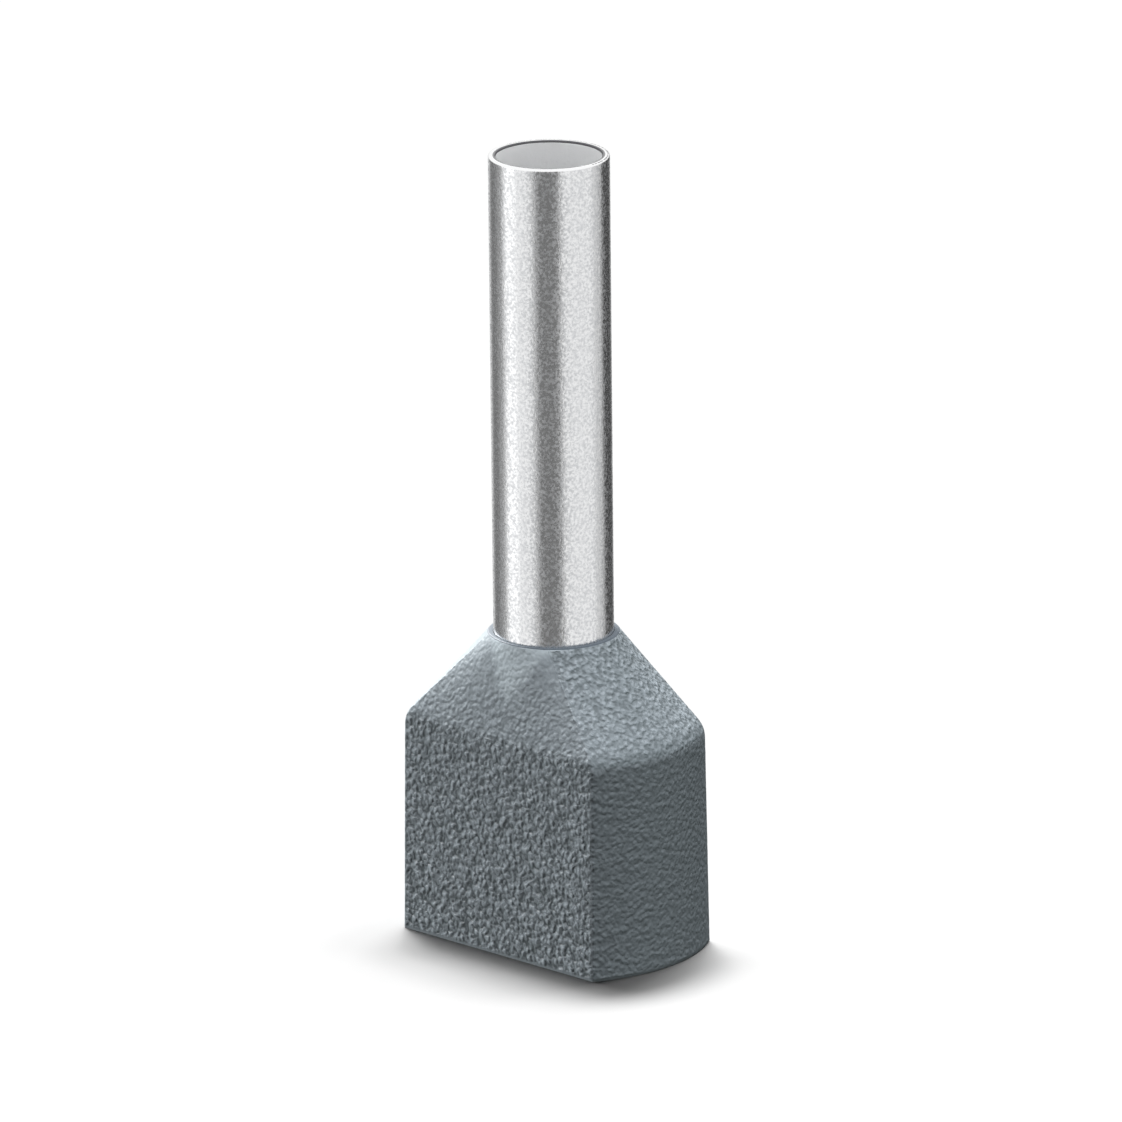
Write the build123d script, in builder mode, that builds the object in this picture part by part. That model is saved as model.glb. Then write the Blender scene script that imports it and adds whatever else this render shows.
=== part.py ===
# Insulated wire ferrule for two wires: a thin tinned copper sleeve held in the shoulders of a
# moulded plastic collar. It stands on the mouth of the collar, with Z up the sleeve and X along
# the wide side of the collar. Sizes are in millimetres and degrees.

import os
from math import cos, radians, sin, sqrt, tan

from build123d import *

# Sleeve: a seamless tube, straight outside the collar and flared inside it
barrel_length = 13.0
barrel_diameter = 3.2
sleeve_wall = 0.2
rim_rounding = 0.05
flare_length = 2.1
flare_growth = 0.2  # what the flare adds to the radius

# Collar, outside
collar_height = 8.5
collar_width = 8.2
collar_depth = 4.6
end_bow = 0.67  # how far the narrow ends bulge past the corners
draft_angle = 0.78
shoulder_height = 6.0
shoulder_rounding = 0.8
corner_rounding = 0.12
foot_rounding = 0.05
ridge_angle = 52.0  # where the four ridges reach the neck, measured from X
neck_end_lip = 0.13  # width of the collar's top edge beside the tube, towards the narrow ends
neck_side_lip = 0.1  # and towards the wide sides

# Collar, inside
collar_wall = 0.35
pocket_height = 4.7  # straight part that takes the insulation of the two wires
pocket_rounding = 0.3
funnel_rounding = 0.5
mouth_rounding = 0.1
throat_end_cover = 0.05  # how far the throat stands in over the end of the tube
throat_side_cover = 0.08
sleeve_fit = 0.01  # gap between the tube and its seat

# Sizes that follow from the ones above
barrel_radius = barrel_diameter / 2
bore_radius = barrel_radius - sleeve_wall
sleeve_top = collar_height + barrel_length
sleeve_end = collar_height - flare_length
flare_bore_radius = bore_radius + flare_growth
end_radius = (collar_depth**2 / 4 + end_bow**2) / (2 * end_bow)
end_centre = collar_width / 2 - end_radius


def collar_outline(height, wall):
    """Level outline of the collar, drawn in by a wall and the draft: long sides and bowed ends."""
    inset = wall + height * tan(radians(draft_angle))
    half_width = collar_width / 2 - inset
    half_depth = collar_depth / 2 - inset
    corner_x = end_centre + sqrt((end_radius - inset) ** 2 - half_depth**2)
    with BuildLine(Plane.XY.offset(height)) as outline:
        Line((-corner_x, -half_depth), (corner_x, -half_depth))
        ThreePointArc((corner_x, -half_depth), (half_width, 0), (corner_x, half_depth))
        Line((corner_x, half_depth), (-corner_x, half_depth))
        ThreePointArc((-corner_x, half_depth), (-half_width, 0), (-corner_x, -half_depth))
    return Face(outline.wire())


def round_outline(height, half_width, half_depth):
    """Level outline round the tube: a circle, a little flattened towards the wide sides."""
    corner_x = half_width * cos(radians(ridge_angle))
    corner_y = half_width * sin(radians(ridge_angle))
    with BuildLine(Plane.XY.offset(height)) as outline:
        ThreePointArc((-corner_x, -corner_y), (0, -half_depth), (corner_x, -corner_y))
        ThreePointArc((corner_x, -corner_y), (half_width, 0), (corner_x, corner_y))
        ThreePointArc((corner_x, corner_y), (0, half_depth), (-corner_x, corner_y))
        ThreePointArc((-corner_x, corner_y), (-half_width, 0), (-corner_x, -corner_y))
    return Face(outline.wire())


# The sleeve's wall, turned about the axis
with BuildPart() as sleeve:
    with BuildSketch(Plane.XZ):
        with BuildLine():
            Polyline(
                (bore_radius, sleeve_top),
                (barrel_radius, sleeve_top),
                (barrel_radius, collar_height),
                (barrel_radius + flare_growth, sleeve_end),
                (flare_bore_radius, sleeve_end),
                (bore_radius, collar_height),
                close=True,
            )
        make_face()
    revolve(axis=Axis.Z)
    fillet(sleeve.edges().group_by(Axis.Z)[-1], radius=rim_rounding)
sleeve.part.label = "sleeve"

# The hollow of the collar below the tube: a straight pocket and a funnel up to the throat
with BuildPart() as hollow:
    loft(
        [
            collar_outline(0, collar_wall),
            collar_outline(pocket_height, collar_wall),
            round_outline(
                sleeve_end,
                flare_bore_radius - throat_end_cover,
                flare_bore_radius - throat_side_cover,
            ),
        ],
        ruled=True,
    )
    fillet(
        hollow.edges().group_by(Axis.Z)[2].filter_by(Axis.X, reverse=True),
        radius=funnel_rounding,
    )
    fillet(hollow.edges().filter_by(Axis.X).group_by(Axis.Z)[-1], radius=funnel_rounding)
    fillet(hollow.edges().group_by(Axis.Z)[1], radius=pocket_rounding)

# The collar: drafted body, shoulders that close in to the neck, rounded edges
with BuildPart() as collar:
    loft(
        [
            collar_outline(0, 0),
            collar_outline(shoulder_height, 0),
            round_outline(
                collar_height, barrel_radius + neck_end_lip, barrel_radius + neck_side_lip
            ),
        ],
        ruled=True,
    )
    fillet(
        collar.edges().group_by(Axis.Z)[2].filter_by(Axis.X, reverse=True),
        radius=shoulder_rounding,
    )
    fillet(collar.edges().filter_by(Axis.X).group_by(Axis.Z)[-1], radius=shoulder_rounding)
    fillet(collar.edges().group_by(Axis.Z)[1], radius=corner_rounding)
    fillet(collar.edges().group_by(Axis.Z)[0], radius=foot_rounding)
    add(hollow.part, mode=Mode.SUBTRACT)
    # The tapered seat that locks the flare of the tube
    with BuildSketch(Plane.XZ):
        with BuildLine():
            Polyline(
                (0, sleeve_end),
                (barrel_radius + flare_growth + sleeve_fit, sleeve_end),
                (barrel_radius + sleeve_fit, collar_height),
                (0, collar_height),
                close=True,
            )
        make_face()
    revolve(axis=Axis.Z, mode=Mode.SUBTRACT)
    mouth = collar.faces().sort_by(Axis.Z)[0]
    fillet(mouth.inner_wires()[0].edges(), radius=mouth_rounding)
collar.part.label = "collar"

os.makedirs("parts", exist_ok=True)
export_step(sleeve.part, "parts/sleeve.step")
export_step(collar.part, "parts/collar.step")
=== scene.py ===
from math import cos, radians, sin, tan

import bpy
import numpy as np
from mathutils import Matrix, Vector


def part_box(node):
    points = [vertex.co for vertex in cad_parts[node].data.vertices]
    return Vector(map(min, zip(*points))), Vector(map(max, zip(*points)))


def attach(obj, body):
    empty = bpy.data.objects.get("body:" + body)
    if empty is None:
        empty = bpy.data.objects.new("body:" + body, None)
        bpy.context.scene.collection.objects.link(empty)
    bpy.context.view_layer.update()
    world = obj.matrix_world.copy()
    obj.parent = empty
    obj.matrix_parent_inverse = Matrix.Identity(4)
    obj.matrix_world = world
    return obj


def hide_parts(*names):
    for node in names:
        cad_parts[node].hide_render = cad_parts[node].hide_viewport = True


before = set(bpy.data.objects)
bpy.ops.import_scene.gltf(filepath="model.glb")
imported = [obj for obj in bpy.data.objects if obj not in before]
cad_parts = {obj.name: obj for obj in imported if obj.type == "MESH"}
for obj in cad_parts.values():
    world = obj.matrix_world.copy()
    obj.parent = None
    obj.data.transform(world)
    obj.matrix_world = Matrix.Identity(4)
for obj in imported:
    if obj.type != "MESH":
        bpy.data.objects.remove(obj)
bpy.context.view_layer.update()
mm = 0.001

# Sleeve: a seamless copper tube, drawn, cut to length and tinned all over. Its foot is flared and
# locked in the collar's tapered seat, and its free end has a small rounded rim.
sleeve_low, sleeve_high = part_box("sleeve")
collar_low, collar_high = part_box("collar")
barrel_radius = 1.6 * mm
sleeve_wall = 0.2 * mm
rim_rounding = 0.05 * mm
flare_growth = 0.2 * mm
sleeve_sizes = {
    "Barrel radius": barrel_radius,
    "Wall": sleeve_wall,
    "Top": sleeve_high.z,
    "Foot": sleeve_low.z,
    "Rim rounding": rim_rounding,
    "Rim rows": 6,
    "Flare length": collar_high.z - sleeve_low.z,
    "Flare growth": flare_growth,
    "Rows": 150,
    "Sides": 192,
}
tin_colour = (0.93, 0.935, 0.94, 1)
tin_shadow_colour = (0.70, 0.71, 0.725, 1)
bright_roughness, dull_roughness, bore_roughness = 0.1, 0.4, 0.75
dull_from, dull_to = 0.33, 0.67
tin_grains_per_metre = 14000
drawn_lines_per_metre = 9000
drawn_line_stretch = (1, 1, 0.03)
drawn_line_share = 0.15
tin_relief = 0.005 * mm
# Painted shade: the colour of the rim's thin dark lines, inside and outside
rim_painted_shade_colour = (0.16, 0.16, 0.17, 1)
inner_line_depth = 0.05 * mm
outer_line_depth = rim_rounding / 10
outer_line_width = 1.4 * rim_rounding
outer_line_from = 0.46


def add_node(tree, kind, inputs=None, **settings):
    """Adds a node, sets its properties, and sets each input to a value or to another node's output."""
    node = tree.nodes.new(kind)
    for name, value in settings.items():
        setattr(node, name, value)
    for name, value in (inputs or {}).items():
        if isinstance(value, bpy.types.NodeSocket):
            tree.links.new(value, node.inputs[name])
        else:
            node.inputs[name].default_value = value
    return node


def maths(tree, operation, *values):
    """Adds one step of arithmetic and gives its result."""
    return add_node(
        tree, "ShaderNodeMath", dict(enumerate(values)), operation=operation
    ).outputs[0]


def vector_maths(tree, operation, *values):
    """Adds one step of arithmetic on vectors and gives its result, a vector or a number."""
    result = "Value" if operation in ("LENGTH", "DOT_PRODUCT") else "Vector"
    return add_node(
        tree, "ShaderNodeVectorMath", dict(enumerate(values)), operation=operation
    ).outputs[result]


def flattened(tree, vector):
    """The same vector without its height."""
    return vector_maths(tree, "MULTIPLY", vector, (1, 1, 0))


def ramp(tree, value, start, stop, end_value=1.0, shape="SMOOTHSTEP"):
    """Goes from 0 to the end value while the value goes from start to stop, and stays there."""
    return add_node(
        tree,
        "ShaderNodeMapRange",
        {0: value, 1: start, 2: stop, 4: end_value},
        interpolation_type=shape,
    ).outputs[0]


def mix_colours(tree, share, first, second):
    """The first colour where the share is 0 and the second where it is 1."""
    return add_node(
        tree, "ShaderNodeMix", {0: share, 6: first, 7: second}, data_type="RGBA"
    ).outputs[2]


def mix_values(tree, share, first, second):
    """The first number where the share is 0 and the second where it is 1."""
    return add_node(
        tree, "ShaderNodeMix", {0: share, 2: first, 3: second}, data_type="FLOAT"
    ).outputs[0]


def new_form(name, sizes):
    """Starts a geometry tree whose inputs are the sizes, and gives the tree and those inputs."""
    tree = bpy.data.node_groups.new(name, "GeometryNodeTree")
    tree.interface.new_socket("Geometry", in_out="INPUT", socket_type="NodeSocketGeometry")
    for size, value in sizes.items():
        kind = "NodeSocketInt" if isinstance(value, int) else "NodeSocketFloat"
        tree.interface.new_socket(size, in_out="INPUT", socket_type=kind)
    tree.interface.new_socket("Geometry", in_out="OUTPUT", socket_type="NodeSocketGeometry")
    return tree, tree.nodes.new("NodeGroupInput").outputs


def end_form(tree, geometry, material):
    """Ends a geometry tree: makes its copies real and gives them their material."""
    real = add_node(tree, "GeometryNodeRealizeInstances", {"Geometry": geometry}).outputs[0]
    dressed = add_node(
        tree, "GeometryNodeSetMaterial", {"Geometry": real, "Material": material}
    ).outputs[0]
    add_node(tree, "NodeGroupOutput", {"Geometry": dressed})


def make_piece(name, start, tree, sizes, crease_angle):
    """Runs a geometry tree on a starting mesh and keeps the result as a plain mesh."""
    piece = bpy.data.objects.new(name, start)
    bpy.context.scene.collection.objects.link(piece)
    modifier = piece.modifiers.new("Form", "NODES")
    modifier.node_group = tree
    for item in tree.interface.items_tree:
        if item.in_out == "INPUT" and item.name in sizes:
            modifier[item.identifier] = sizes[item.name]
    shaped = piece.evaluated_get(bpy.context.evaluated_depsgraph_get())
    mesh = bpy.data.meshes.new_from_object(shaped)
    piece.modifiers.remove(modifier)
    piece.data = mesh
    mesh.name = name
    mesh.set_sharp_from_angle(angle=radians(crease_angle))
    return piece


tin = bpy.data.materials.new("tinned_copper")
tin.use_nodes = True
tree = tin.node_tree
shader = tree.nodes["Principled BSDF"]
place = add_node(tree, "ShaderNodeTexCoord").outputs["Object"]
# Tin freezes in fine grains: some lie bright and smooth, others scatter the light
grains = add_node(
    tree,
    "ShaderNodeTexNoise",
    {"Vector": place, "Scale": tin_grains_per_metre, "Detail": 2, "Roughness": 0.6},
).outputs["Fac"]
drawn = vector_maths(tree, "MULTIPLY", place, drawn_line_stretch)
lines = add_node(
    tree,
    "ShaderNodeTexNoise",
    {"Vector": drawn, "Scale": drawn_lines_per_metre, "Detail": 3, "Roughness": 0.6},
).outputs["Fac"]
placing = add_node(tree, "ShaderNodeSeparateXYZ", {0: place}).outputs
below_rim = maths(tree, "SUBTRACT", sleeve_high.z, placing["Z"])
on_barrel = maths(tree, "GREATER_THAN", below_rim, rim_rounding)
dull = maths(tree, "MULTIPLY", ramp(tree, grains, dull_from, dull_to), on_barrel)
colour = mix_colours(tree, dull, tin_colour, tin_shadow_colour)
# The bore stays dull. A thin dark line of painted shade runs round it at the rim, and a broken line of
# painted shade runs outside on the rim's far half
from_axis = vector_maths(tree, "LENGTH", flattened(tree, place))
bore_edge = barrel_radius - sleeve_wall + rim_rounding / 2
bore = maths(tree, "LESS_THAN", from_axis, bore_edge)
colour = mix_colours(tree, bore, colour, tin_colour)
inside = maths(tree, "LESS_THAN", from_axis, bore_edge + rim_rounding)
at_cut = maths(tree, "LESS_THAN", below_rim, inner_line_depth)
inner_line = maths(tree, "MULTIPLY", inside, at_cut)
outer_line = maths(tree, "GREATER_THAN", from_axis, barrel_radius - outer_line_width)
for condition in (
    maths(tree, "GREATER_THAN", grains, outer_line_from),
    maths(tree, "GREATER_THAN", placing["Y"], 0.0),
    maths(tree, "LESS_THAN", below_rim, outer_line_depth),
):
    outer_line = maths(tree, "MULTIPLY", outer_line, condition)
painted_rim_shade = maths(tree, "MAXIMUM", inner_line, outer_line)
colour = mix_colours(tree, painted_rim_shade, colour, rim_painted_shade_colour)
roughness = mix_values(tree, dull, bright_roughness, dull_roughness)
roughness = mix_values(tree, bore, roughness, bore_roughness)
height = maths(tree, "MULTIPLY_ADD", lines, drawn_line_share, grains)
bump = add_node(
    tree, "ShaderNodeBump", {"Height": height, "Distance": tin_relief, "Strength": 1.0}
).outputs[0]
shader.inputs["Metallic"].default_value = 1.0
tree.links.new(colour, shader.inputs["Base Color"])
tree.links.new(roughness, shader.inputs["Roughness"])
tree.links.new(bump, shader.inputs["Normal"])

tree, size = new_form("drawn_and_flared_tube", sleeve_sizes)
bore_radius = maths(tree, "SUBTRACT", size["Barrel radius"], size["Wall"])
# The section of the wall lies in the circle's own plane, where Y runs down the tube
section_corners = (
    (0.0, size["Foot"]),
    (size["Wall"], size["Foot"]),
    (size["Wall"], size["Top"]),
    (0.0, size["Top"]),
)
section_points = {}
for i, (across, level) in enumerate(section_corners):
    drop = maths(tree, "MULTIPLY", level, -1.0)
    corner = add_node(tree, "ShaderNodeCombineXYZ", {"X": across, "Y": drop}).outputs[0]
    section_points[f"Point {1 + i}"] = corner
section = add_node(
    tree, "GeometryNodeCurvePrimitiveQuadrilateral", section_points, mode="POINTS"
).outputs[0]
# Every second side of the section runs along the tube, and only those are cut into rows
side_number = add_node(tree, "GeometryNodeInputIndex").outputs[0]
long_side = maths(tree, "MODULO", side_number, 2.0)
cuts = maths(tree, "MULTIPLY", long_side, size["Rows"])
section = add_node(
    tree, "GeometryNodeSubdivideCurve", {"Curve": section, "Cuts": cuts}
).outputs[0]
section_place = add_node(tree, "GeometryNodeInputPosition").outputs[0]
section_drop = add_node(tree, "ShaderNodeSeparateXYZ", {0: section_place}).outputs["Y"]
below_top = maths(tree, "ADD", section_drop, size["Top"])
at_rim = maths(tree, "LESS_THAN", below_top, size["Rim rounding"])
section = add_node(
    tree,
    "GeometryNodeFilletCurve",
    {
        "Curve": section,
        "Radius": maths(tree, "MULTIPLY", at_rim, size["Rim rounding"]),
        "Limit Radius": True,
        "Count": size["Rim rows"],
    },
    mode="POLY",
).outputs[0]
circle = add_node(
    tree,
    "GeometryNodeCurvePrimitiveCircle",
    {"Resolution": size["Sides"], "Radius": bore_radius},
    mode="RADIUS",
).outputs[0]
tube = add_node(
    tree, "GeometryNodeCurveToMesh", {"Curve": circle, "Profile Curve": section}
).outputs[0]
# The flare pushes the wall outwards below the collar's top edge
wall_place = add_node(tree, "GeometryNodeInputPosition").outputs[0]
outwards = vector_maths(tree, "NORMALIZE", flattened(tree, wall_place))
level = add_node(tree, "ShaderNodeSeparateXYZ", {0: wall_place}).outputs["Z"]
flare_top = maths(tree, "ADD", size["Foot"], size["Flare length"])
growth = ramp(tree, level, flare_top, size["Foot"], size["Flare growth"], shape="LINEAR")
push = vector_maths(tree, "MULTIPLY", outwards, growth)
tube = add_node(
    tree, "GeometryNodeSetPosition", {"Geometry": tube, "Offset": push}
).outputs[0]
end_form(tree, tube, tin)
sleeve = make_piece(
    "sleeve_tube", bpy.data.meshes.new("sleeve_start"), tree, sleeve_sizes, crease_angle=40
)
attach(sleeve, "root")
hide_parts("sleeve")

# Collar: one moulding in grey polypropylene, with slightly drafted walls, bowed ends and shoulders
# that close in to a round neck. The mould was spark-eroded, which left a fine pebbled grain on
# every outer face. The tube's flare sits in a taper under the neck, which keeps it from pulling out.
collar_width = collar_high.x - collar_low.x
collar_depth = 4.6 * mm
end_bow = 0.67 * mm
draft = tan(radians(0.78))
shoulder_level = 6.0 * mm
shoulder_rounding = 0.8 * mm
corner_rounding = 0.12 * mm
foot_rounding = 0.05 * mm
neck_rounding = 0.03 * mm
ridge_angle = radians(52.0)
neck_end_lip = 0.13 * mm
neck_side_lip = 0.1 * mm
collar_wall = 0.35 * mm
pocket_level = 4.7 * mm
pocket_rounding = 0.3 * mm
funnel_rounding = 0.5 * mm
mouth_rounding = 0.1 * mm
throat_end_cover = 0.05 * mm
throat_side_cover = 0.08 * mm
sleeve_fit = 0.01 * mm
side_columns, corner_columns, end_columns = 60, 6, 42
outer_row_spacing, inner_row_spacing = 0.05 * mm, 0.6 * mm

end_radius = (collar_depth**2 / 4 + end_bow**2) / (2 * end_bow)
end_centre = collar_width / 2 - end_radius
flare_bore_radius = barrel_radius - sleeve_wall + flare_growth


def arc(centre, radius, first, last, count):
    """Points on an arc in the level plane, from one angle to another."""
    angles = np.linspace(first, last, count)
    return np.array(centre) + radius * np.column_stack([np.cos(angles), np.sin(angles)])


def all_round(quarter, level):
    """Mirrors a quarter outline, from the middle of the front to the middle of the right end."""
    right = np.vstack([quarter, quarter[-2::-1] * (1, -1)])
    ring = np.vstack([right, right[-2:0:-1] * (-1, 1)])
    return np.column_stack([ring, np.full(len(ring), level)])


def oblong(level, wall, rounding):
    """Outline of the collar at a level, drawn in by a wall and the draft, with rounded corners."""
    inset = wall + level * draft
    half_depth = collar_depth / 2 - inset
    corner_radius = end_radius - inset - rounding
    turn = np.arcsin((half_depth - rounding) / corner_radius)
    corner = (end_centre + corner_radius * cos(turn), rounding - half_depth)
    side = np.column_stack(
        [np.linspace(0, corner[0], side_columns), np.full(side_columns, -half_depth)]
    )
    bend = arc(corner, rounding, radians(-90), -turn, corner_columns + 2)[1:-1]
    end = arc((end_centre, 0), end_radius - inset, -turn, 0, end_columns)
    return all_round(np.vstack([side, bend, end]), level)


def flattened_circle(level, half_width, half_depth, outer):
    """Outline round the tube, with its columns spaced like those of the oblong that it joins."""
    corner = np.array([half_width * cos(ridge_angle), -half_width * sin(ridge_angle)])
    drop = half_depth + corner[1]
    side_radius = (corner[0] ** 2 + drop**2) / (2 * drop)
    side_turn = np.arcsin(corner[0] / side_radius)
    quarter = outer[: side_columns + corner_columns + end_columns]
    corner_column = side_columns + corner_columns // 2
    steps = np.linalg.norm(np.diff(quarter[:, :2], axis=0), axis=1)
    run = np.concatenate([[0], np.cumsum(steps)])
    along_side = run[:corner_column] / run[corner_column]
    along_end = (run[corner_column:] - run[corner_column]) / (run[-1] - run[corner_column])
    side_angles = radians(-90) + side_turn * along_side
    end_angles = -ridge_angle * (1 - along_end)
    side = side_radius * np.column_stack([np.cos(side_angles), np.sin(side_angles)])
    side[:, 1] += side_radius - half_depth
    end = half_width * np.column_stack([np.cos(end_angles), np.sin(end_angles)])
    return all_round(np.vstack([side, end]), level)


def circle_round(level, radius, inner):
    """A true circle, with its columns in line with those of another outline."""
    around = inner[:, :2] / np.linalg.norm(inner[:, :2], axis=1, keepdims=True)
    return np.column_stack([around * radius, np.full(len(inner), level)])


def unit(vectors):
    """The same directions with a length of 1."""
    return vectors / np.linalg.norm(vectors, axis=1, keepdims=True)


def rounded(before, crease, after, radius, rows):
    """Outlines that round a crease as a ball of that radius would, rolled along its inside."""
    along = unit(np.roll(crease, -1, axis=0) - np.roll(crease, 1, axis=0))
    back, on = unit(before - crease), unit(after - crease)
    across_back, across_on = np.cross(along, back), np.cross(on, along)
    slant_back = np.linalg.norm(across_back, axis=1, keepdims=True)
    slant_on = np.linalg.norm(across_on, axis=1, keepdims=True)
    facing = np.sum(across_back * across_on, axis=1, keepdims=True) / (slant_back * slant_on)
    half_turn = np.arccos(np.clip(facing, -1, 1)) / 2
    reach = radius * np.tan(half_turn)
    start, stop = crease + back * reach / slant_back, crease + on * reach / slant_on
    pull = np.cos(half_turn)
    rings = []
    for t in np.linspace(0, 1, rows):
        shares = (1 - t) ** 2, 2 * t * (1 - t) * pull, t**2
        rings.append((shares[0] * start + shares[1] * crease + shares[2] * stop) / sum(shares))
    return rings


foot = oblong(0, 0, corner_rounding)
shoulder = oblong(shoulder_level, 0, corner_rounding)
neck = flattened_circle(
    collar_high.z, barrel_radius + neck_end_lip, barrel_radius + neck_side_lip, shoulder
)
seat_top = circle_round(collar_high.z, barrel_radius + sleeve_fit, neck)
seat_foot = circle_round(sleeve_low.z, barrel_radius + flare_growth + sleeve_fit, neck)
pocket_top = oblong(pocket_level, collar_wall, pocket_rounding)
throat = flattened_circle(
    sleeve_low.z,
    flare_bore_radius - throat_end_cover,
    flare_bore_radius - throat_side_cover,
    pocket_top,
)
mouth = oblong(0, collar_wall, pocket_rounding)
# Each crease, in order up the outside and down the inside: outline, rounding, rows in its bend
creases = {
    "foot": (foot, foot_rounding, 5),
    "shoulder": (shoulder, shoulder_rounding, 9),
    "neck": (neck, neck_rounding, 4),
    "seat top": (seat_top, 0, 1),
    "seat foot": (seat_foot, 0, 1),
    "throat": (throat, 0, 1),
    "pocket top": (pocket_top, funnel_rounding, 6),
    "mouth": (mouth, mouth_rounding, 4),
}
outlines = [crease for crease, rounding, rows in creases.values()]
bends = []
for i, (crease, rounding, rows) in enumerate(creases.values()):
    before, after = outlines[i - 1], outlines[(i + 1) % len(outlines)]
    bends.append(rounded(before, crease, after, rounding, rows) if rounding else [crease])


def grain_round(side, corner, right_end, left_end):
    """Depth of the grain round an outline: on its sides, its corners and its two ends."""
    halves = []
    for end in (right_end, left_end):
        quarter = np.repeat((side, corner, end), (side_columns, corner_columns, end_columns))
        halves.append(np.concatenate([quarter, quarter[-2::-1]]))
    return np.concatenate([halves[0], halves[1][-2:0:-1]])


# The grain is deepest on the wide sides and fades up the slopes. None lies inside or on an edge
body_grain = grain_round(side=1.0, corner=0.4, right_end=0.22, left_end=0.22)
crest_grain = grain_round(side=0.8, corner=0.4, right_end=0.22, left_end=0.22)
slope_grain = grain_round(side=0.31, corner=0.4, right_end=0.5, left_end=0.1)
neck_grain = grain_round(side=0.12, corner=0.35, right_end=0.62, left_end=0.05)
no_grain = grain_round(side=0, corner=0, right_end=0, left_end=0)
smooth = (no_grain, no_grain)
bend_grain = {"shoulder": (crest_grain, slope_grain)}
run_grain = {"foot": (body_grain, crest_grain), "shoulder": (slope_grain, neck_grain)}
# Each crease gives the rings of its bend, and then those of the run to the next crease
rings, grain_share = [], []
for i, name in enumerate(creases):
    first_grain, last_grain = bend_grain.get(name, smooth)
    for t, ring in zip(np.linspace(0, 1, len(bends[i])), bends[i]):
        rings.append(ring)
        grain_share.append((1 - t) * first_grain + t * last_grain)
    start, stop = bends[i][-1], bends[(i + 1) % len(bends)][0]
    first_grain, last_grain = run_grain.get(name, smooth)
    spacing = outer_row_spacing if name in run_grain else inner_row_spacing
    rows = int(np.max(np.linalg.norm(stop - start, axis=1)) / spacing)
    for t in np.linspace(0, 1, rows + 2)[1:-1]:
        rings.append(start + t * (stop - start))
        grain_share.append((1 - t) * first_grain + t * last_grain)
columns = len(foot)
here = np.arange(columns)
beside = np.roll(here, -1)
faces = []
for row in range(len(rings)):
    low_row, high_row = row * columns, (row + 1) % len(rings) * columns
    faces.append(
        np.column_stack([low_row + here, low_row + beside, high_row + beside, high_row + here])
    )
start_mesh = bpy.data.meshes.new("collar_start")
start_mesh.from_pydata(np.vstack(rings).tolist(), [], np.vstack(faces).tolist())
start_mesh.shade_smooth()
share = start_mesh.attributes.new("grain_share", "FLOAT", "POINT")
share.data.foreach_set("value", np.concatenate(grain_share))
start_mesh.update()

plastic_colour = (0.166, 0.192, 0.207, 1)
plastic_pit_colour = (0.048, 0.060, 0.064, 1)
plastic_pebble_colour = (0.284, 0.324, 0.350, 1)
# Painted light: the pale colour of the zone round the neck
painted_neck_light_colour = (0.305, 0.350, 0.372, 1)
# Painted shade: the dark colour of the neck's top edge
painted_lip_shade_colour = (0.060, 0.075, 0.090, 1)
plastic_roughness = 0.55
# The grain: round cells on softly swelling ground, turned so that no face cuts them in line. It is
# pressed into the mesh to the grain's depth, and the material's bump sharpens it
grain_period = 0.175 * mm
grain_depth = 0.012 * mm
bump_depth = 0.08 * mm
grain_turn = (0.54, 0.30, 0.40)
swells_per_cell = 1.75
swell_from, swell_to = 0.35, 0.65
cell_from, cell_to = 0.7, 0.2
swell_share, cell_share = 0.4, 0.6
# The painted light round the neck, a pale zone: how far out it ends and is full, and how it lies off the
# axis
neck_light_from, neck_light_to = 2.1 * mm, 1.85 * mm
neck_light_stretch, neck_light_shift = (1.4, 1, 0), (-0.2 * mm, 0, 0)
neck_light_patches_per_metre = 3500
neck_light_patch_reach = 0.2 * mm


def pebbled(tree, place, period):
    """Height of the grain, 0 in its pits and 1 on its pebbles: round cells on softly swelling ground."""
    turned = add_node(
        tree,
        "ShaderNodeVectorRotate",
        {"Vector": place, "Rotation": grain_turn},
        rotation_type="EULER_XYZ",
    ).outputs[0]
    cell_scale = maths(tree, "DIVIDE", 1.0, period)
    swell_scale = maths(tree, "MULTIPLY", cell_scale, swells_per_cell)
    swells = add_node(
        tree, "ShaderNodeTexNoise", {"Vector": turned, "Scale": swell_scale, "Detail": 0}
    ).outputs["Fac"]
    swells = ramp(tree, swells, swell_from, swell_to, shape="LINEAR")
    cells = add_node(
        tree, "ShaderNodeTexVoronoi", {"Vector": turned, "Scale": cell_scale}, feature="F1"
    ).outputs["Distance"]
    cells = ramp(tree, cells, cell_from, cell_to, shape="LINEAR")
    pebbles = maths(tree, "MULTIPLY", cells, cell_share)
    return maths(tree, "MULTIPLY_ADD", swells, swell_share, pebbles)


grey = bpy.data.materials.new("grey_plastic")
grey.use_nodes = True
tree = grey.node_tree
shader = tree.nodes["Principled BSDF"]
place = add_node(tree, "ShaderNodeTexCoord").outputs["Object"]
height = pebbled(tree, place, grain_period)
share = add_node(tree, "ShaderNodeAttribute", attribute_name="grain_share").outputs["Fac"]
# The pits are darker than the pebbles: partly the grain's own tone, partly painted shade in the pits
grained = mix_colours(tree, height, plastic_pit_colour, plastic_pebble_colour)
colour = mix_colours(tree, share, plastic_colour, grained)
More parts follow.
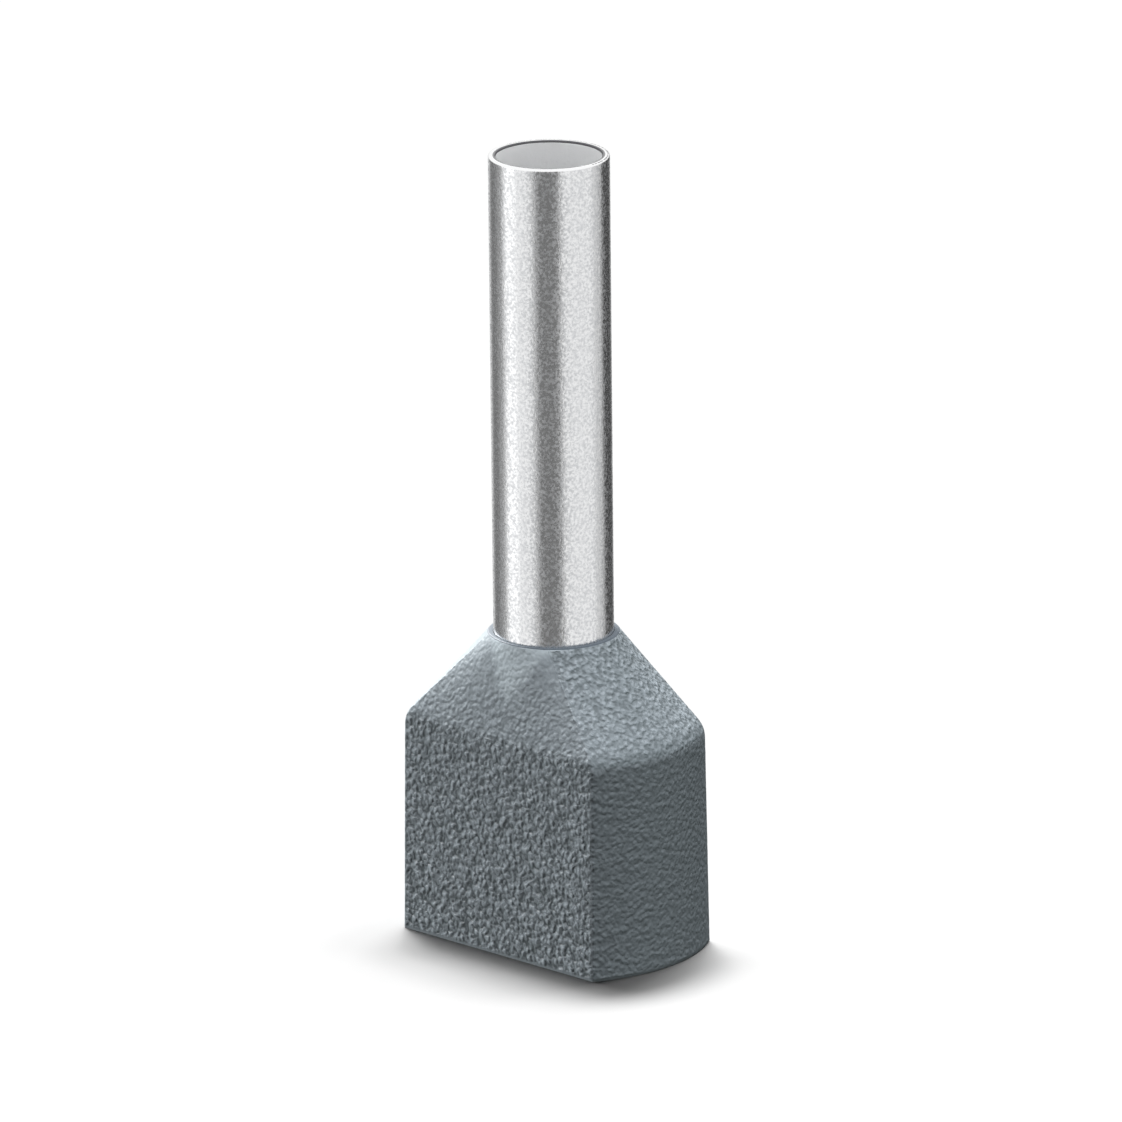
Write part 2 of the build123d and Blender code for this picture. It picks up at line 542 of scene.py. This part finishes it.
# Close to the neck the colour is painted pale, with an uneven edge: painted light on the slopes round
# the neck
off_centre = vector_maths(tree, "MULTIPLY_ADD", place, neck_light_stretch, neck_light_shift)
from_axis = vector_maths(tree, "LENGTH", off_centre)
patches = add_node(
    tree, "ShaderNodeTexNoise", {"Vector": place, "Scale": neck_light_patches_per_metre, "Detail": 2}
).outputs["Fac"]
patches = maths(tree, "SUBTRACT", patches, 0.5)
uneven = maths(tree, "MULTIPLY_ADD", patches, neck_light_patch_reach, from_axis)
level = add_node(tree, "ShaderNodeSeparateXYZ", {0: place}).outputs["Z"]
on_slopes = maths(tree, "GREATER_THAN", level, shoulder_level)
painted_neck_light = maths(tree, "MULTIPLY", ramp(tree, uneven, neck_light_from, neck_light_to), on_slopes)
colour = mix_colours(tree, painted_neck_light, colour, painted_neck_light_colour)
# The top edge of the neck, where it meets the tube, is painted dark: painted shade between the collar
# and the tube
lip = maths(tree, "GREATER_THAN", level, collar_high.z - neck_rounding)
colour = mix_colours(tree, lip, colour, painted_lip_shade_colour)
relief = maths(tree, "MULTIPLY", height, share)
bump = add_node(
    tree, "ShaderNodeBump", {"Height": relief, "Distance": bump_depth, "Strength": 1.0}
).outputs[0]
shader.inputs["Roughness"].default_value = plastic_roughness
tree.links.new(colour, shader.inputs["Base Color"])
tree.links.new(bump, shader.inputs["Normal"])

collar_sizes = {"Grain period": grain_period, "Grain depth": grain_depth}
tree, size = new_form("spark_eroded_grain", collar_sizes)
place = add_node(tree, "GeometryNodeInputPosition").outputs[0]
height = pebbled(tree, place, size["Grain period"])
share = add_node(tree, "GeometryNodeInputNamedAttribute", {"Name": "grain_share"}).outputs[0]
# The tops of the pebbles stay level with the solid's face, and the pits are pressed into it
depth = maths(tree, "MULTIPLY", size["Grain depth"], maths(tree, "SUBTRACT", height, 1.0))
depth = maths(tree, "MULTIPLY", depth, share)
normal = add_node(tree, "GeometryNodeInputNormal").outputs[0]
offset = vector_maths(tree, "MULTIPLY", normal, depth)
moved = add_node(
    tree, "GeometryNodeSetPosition", {"Geometry": size["Geometry"], "Offset": offset}
).outputs[0]
end_form(tree, moved, grey)
collar = make_piece("collar_moulding", start_mesh, tree, collar_sizes, crease_angle=50)
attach(collar, "root")
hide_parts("collar")

# Table: a plain matt sheet that stands for a white ground. Its own colour is a mid grey that soft
# lights bring up to white, so that the collar's shadow is as dark at its foot as the real one.
table_size = 1.0
table_colour = (0.25, 0.25, 0.25, 1)
half = table_size / 2
table = bpy.data.objects.new("table", bpy.data.meshes.new("table"))
table.data.from_pydata(
    [(-half, -half, 0), (half, -half, 0), (half, half, 0), (-half, half, 0)], [], [(0, 1, 2, 3)]
)
matt = bpy.data.materials.new("white_table")
matt.use_nodes = True
shader = matt.node_tree.nodes["Principled BSDF"]
shader.inputs["Base Color"].default_value = table_colour
shader.inputs["Roughness"].default_value = 1.0
shader.inputs["Specular IOR Level"].default_value = 0.0
table.data.materials.append(matt)
bpy.context.scene.collection.objects.link(table)
table.visible_glossy = False
table.visible_diffuse = False

# Light: a plain white room. The metal mirrors a ring of softboxes and a bright ceiling, the collar
# also gets a little light from below, and soft lamps shine on the table and on the collar.
front_bearing = radians(-46.9)
# Softboxes: how far the middle lies round from the front, half width, edge, brightness
softboxes = {
    "key": (-82, 18, 10, 1.52),
    "left fill": (-56, 27, 13, 1.15),
    "front": (0, 30, 10, 0.22),
    "right fill": (56, 38, 7, 1.1),
    "right side": (101, 14, 6, 0.80),
    "left side": (-112, 12, 8, 0.36),
    "left back": (-135, 20, 10, 0.22),
    "back rim": (-174, 24, 10, 1.0),
}
room_brightness = 0.08
ceiling_brightness, ceiling_edge = 1.3, 0.25
light_from_below, horizon_edge = 0.1, 0.05
background_brightness = 1.0

world = bpy.data.worlds.new("studio")
bpy.context.scene.world = world
world.use_nodes = True
world.cycles.sampling_method = "NONE"
tree = world.node_tree
tree.nodes.clear()
direction = add_node(tree, "ShaderNodeTexCoord").outputs["Generated"]
level = add_node(tree, "ShaderNodeSeparateXYZ", {0: direction}).outputs["Z"]
flat_direction = vector_maths(tree, "NORMALIZE", flattened(tree, direction))
glow = room_brightness
for middle, half_width, edge, brightness in softboxes.values():
    bearing = front_bearing + radians(middle)
    towards = (cos(bearing), sin(bearing), 0)
    apart = maths(tree, "ARCCOSINE", vector_maths(tree, "DOT_PRODUCT", flat_direction, towards))
    outer_edge, inner_edge = radians(half_width + edge), radians(half_width - edge)
    band = ramp(tree, apart, outer_edge, inner_edge, brightness)
    glow = maths(tree, "MAXIMUM", glow, band)
ceiling = ramp(tree, level, 0.0, ceiling_edge)
mirrored = mix_values(tree, ceiling, glow, ceiling_brightness)
# The soft light on the collar comes from below the table's level, so that the table gets none
below = ramp(tree, level, horizon_edge, -horizon_edge, light_from_below)
ray = add_node(tree, "ShaderNodeLightPath").outputs
strength = mix_values(tree, ray["Is Glossy Ray"], below, mirrored)
strength = mix_values(tree, ray["Is Camera Ray"], strength, background_brightness)
background = add_node(tree, "ShaderNodeBackground", {"Strength": strength}).outputs[0]
add_node(tree, "ShaderNodeOutputWorld", {"Surface": background})


def collection_of(name, piece):
    """A collection with one piece in it, for the lamps that have to do with that piece alone."""
    alone = bpy.data.collections.new(name)
    alone.objects.link(piece)
    return alone


def add_sun(name, strength, spread, bearing, height, lit, shade=None, colour=(1, 1, 1), gloss=False):
    """A soft lamp far off that lights one collection. Its spread and its place are in degrees."""
    lamp = bpy.data.lights.new(name, "SUN")
    lamp.energy = strength
    lamp.angle = radians(spread)
    lamp.color = colour
    sun = bpy.data.objects.new(name, lamp)
    sun.rotation_euler = (0, radians(90 - height), radians(bearing))
    bpy.context.scene.collection.objects.link(sun)
    sun.light_linking.receiver_collection = lit
    if shade:
        sun.light_linking.blocker_collection = shade
    sun.visible_glossy = gloss


table_alone = collection_of("table_alone", table)
collar_alone = collection_of("collar_alone", collar)
# Lamps on the table: bearing, height, spread, strength
table_lights = ((78, 64, 13, 1.3), (114, 68, 15, 3.5), (141, 71, 14, 5.0), (162, 72, 15, 3.9))
for bearing, height, spread, strength in table_lights:
    name = f"table_light_{bearing}"
    add_sun(name, strength, spread, bearing, height, lit=table_alone, shade=collar_alone)
add_sun(
    "left_light", strength=10.0, spread=38, bearing=169, height=41, lit=collar_alone, gloss=True
)
add_sun(
    "overhead_light",
    strength=6.8,
    spread=40,
    bearing=-14,
    height=82,
    lit=collar_alone,
    colour=(1.0, 0.98, 1.0),
)
add_sun(
    "right_light",
    strength=0.2,
    spread=60,
    bearing=15,
    height=-7,
    lit=collar_alone,
    colour=(0.2, 1.0, 0.85),
)
add_sun(
    "bounce_from_the_table",
    strength=3.5,
    spread=24,
    bearing=205,
    height=-34,
    lit=collar_alone,
    shade=collar_alone,
)

# Camera: far off with a long lens, a little above the collar, and turned so that the collar's right
# end shows. Its angles, distance and aim were fitted to the outline of the real ferrule.
view_azimuth = radians(43.11)
view_elevation = radians(16.91)
view_roll = 0.0100
view_distance = 325.97 * mm
aim_right = 0.2113 * mm
aim_height = 10.389 * mm
lens = 396.1
right = Vector((cos(view_azimuth), sin(view_azimuth), 0))
back = Vector(
    (
        sin(view_azimuth) * cos(view_elevation),
        -cos(view_azimuth) * cos(view_elevation),
        sin(view_elevation),
    )
)
camera = bpy.data.objects.new("camera", bpy.data.cameras.new("camera"))
camera.data.lens = lens
camera.data.sensor_width = 36.0
camera.data.clip_start = 10 * mm
camera.data.clip_end = 10.0
aim = right * aim_right + Vector((0, 0, aim_height))
turn = Matrix((right, back.cross(right), back)).transposed().to_4x4()
camera.matrix_world = (
    Matrix.Translation(aim + back * view_distance) @ turn @ Matrix.Rotation(-view_roll, 4, "Z")
)
bpy.context.scene.collection.objects.link(camera)
bpy.context.scene.camera = camera
bpy.context.scene.view_settings.view_transform = "Standard"
